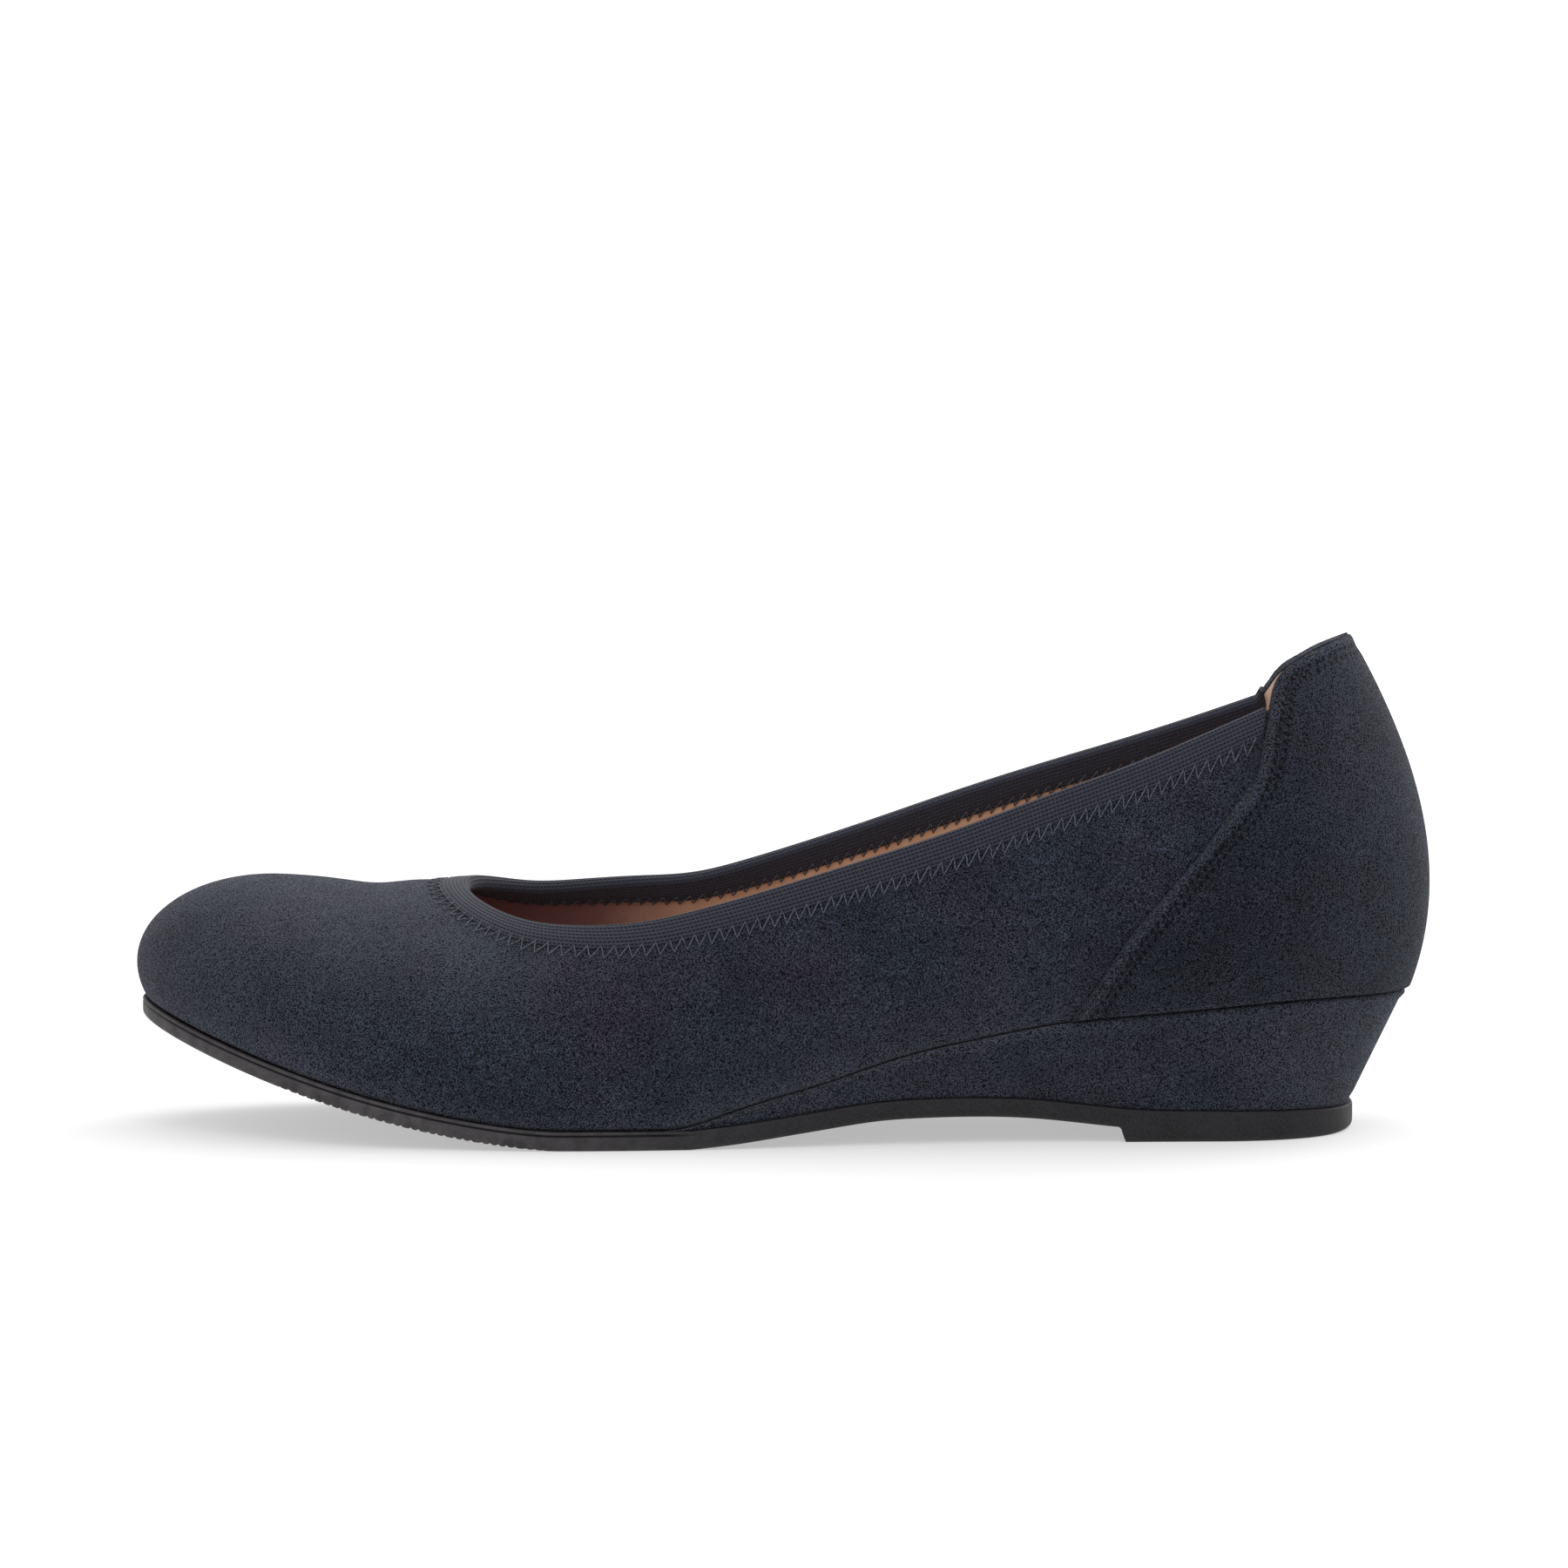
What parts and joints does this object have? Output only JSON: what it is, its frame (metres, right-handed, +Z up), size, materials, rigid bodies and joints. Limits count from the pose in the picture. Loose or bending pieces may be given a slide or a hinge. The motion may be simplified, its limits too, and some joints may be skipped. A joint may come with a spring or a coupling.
{
  "type": "womens wedge ballerina shoe, left",
  "caption": "Closed round-toe ballerina in navy suede on a low covered wedge, with a ribbed elastic edge, a raised heel counter with pull tab and a black rubber sole.",
  "frame": {"origin": "on the floor, under the middle of the shoe's bounding box", "axes": "+X along the shoe towards the heel, +Y towards the inner side of the foot, +Z up"},
  "size_m": [0.252, 0.0856, 0.0963],
  "materials": {
    "sole_rubber": "moulded, satin",
    "wedge_suede": "napped suede, matt",
    "upper_suede": "napped suede, matt",
    "counter_suede": "napped suede, matt",
    "elastic": "ribbed knit elastic",
    "lining_leather": "smooth lining leather"
  },
  "bodies": {
    "root": {"outsole": "sole_rubber", "wedge": "wedge_suede", "upper": "upper_suede", "heel_counter": "counter_suede", "topline_binding": "elastic", "insole": "lining_leather"}
  },
  "joints": []
}
